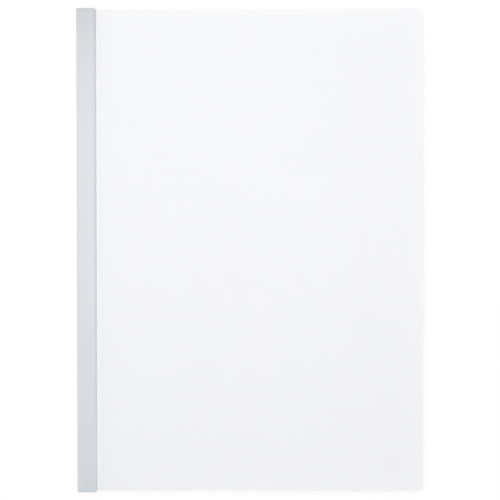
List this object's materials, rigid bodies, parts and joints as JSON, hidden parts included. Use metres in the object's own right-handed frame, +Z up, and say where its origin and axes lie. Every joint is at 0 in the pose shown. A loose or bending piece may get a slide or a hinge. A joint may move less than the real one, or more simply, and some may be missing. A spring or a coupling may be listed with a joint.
{
  "type": "slide-bar clip folder",
  "caption": "Closed A4 report folder: a folded milky plastic cover gripped along its spine by an extruded slide bar that clamps loose sheets.",
  "frame": {"origin": "middle of the folder's footprint, on the table", "axes": "+X from the slide bar to the covers' free edges, +Y along the bar towards the top of the folder, +Z up through the closed covers"},
  "size_m": [0.2214, 0.31, 0.006],
  "materials": {
    "bar_plastic": "satin extruded plastic, grey-blue",
    "cover_sheet": "milky polypropylene sheet with a fine diamond emboss"
  },
  "bodies": {
    "back": {"back_cover": "cover_sheet"},
    "front": {"front_cover": "cover_sheet"},
    "bar": {"slide_bar": "bar_plastic"}
  },
  "joints": [
    {"name": "front_cover_hinge", "type": "hinge", "parent": "back", "child": "front", "pos_m": [-0.0952, 0, 0.00334], "axis": [0, -1, 0], "range_deg": [0, 145]},
    {"name": "bar_slide", "type": "slide", "parent": "back", "child": "bar", "axis": [0, 1, 0], "range_m": [-0.31, 0.31]}
  ]
}
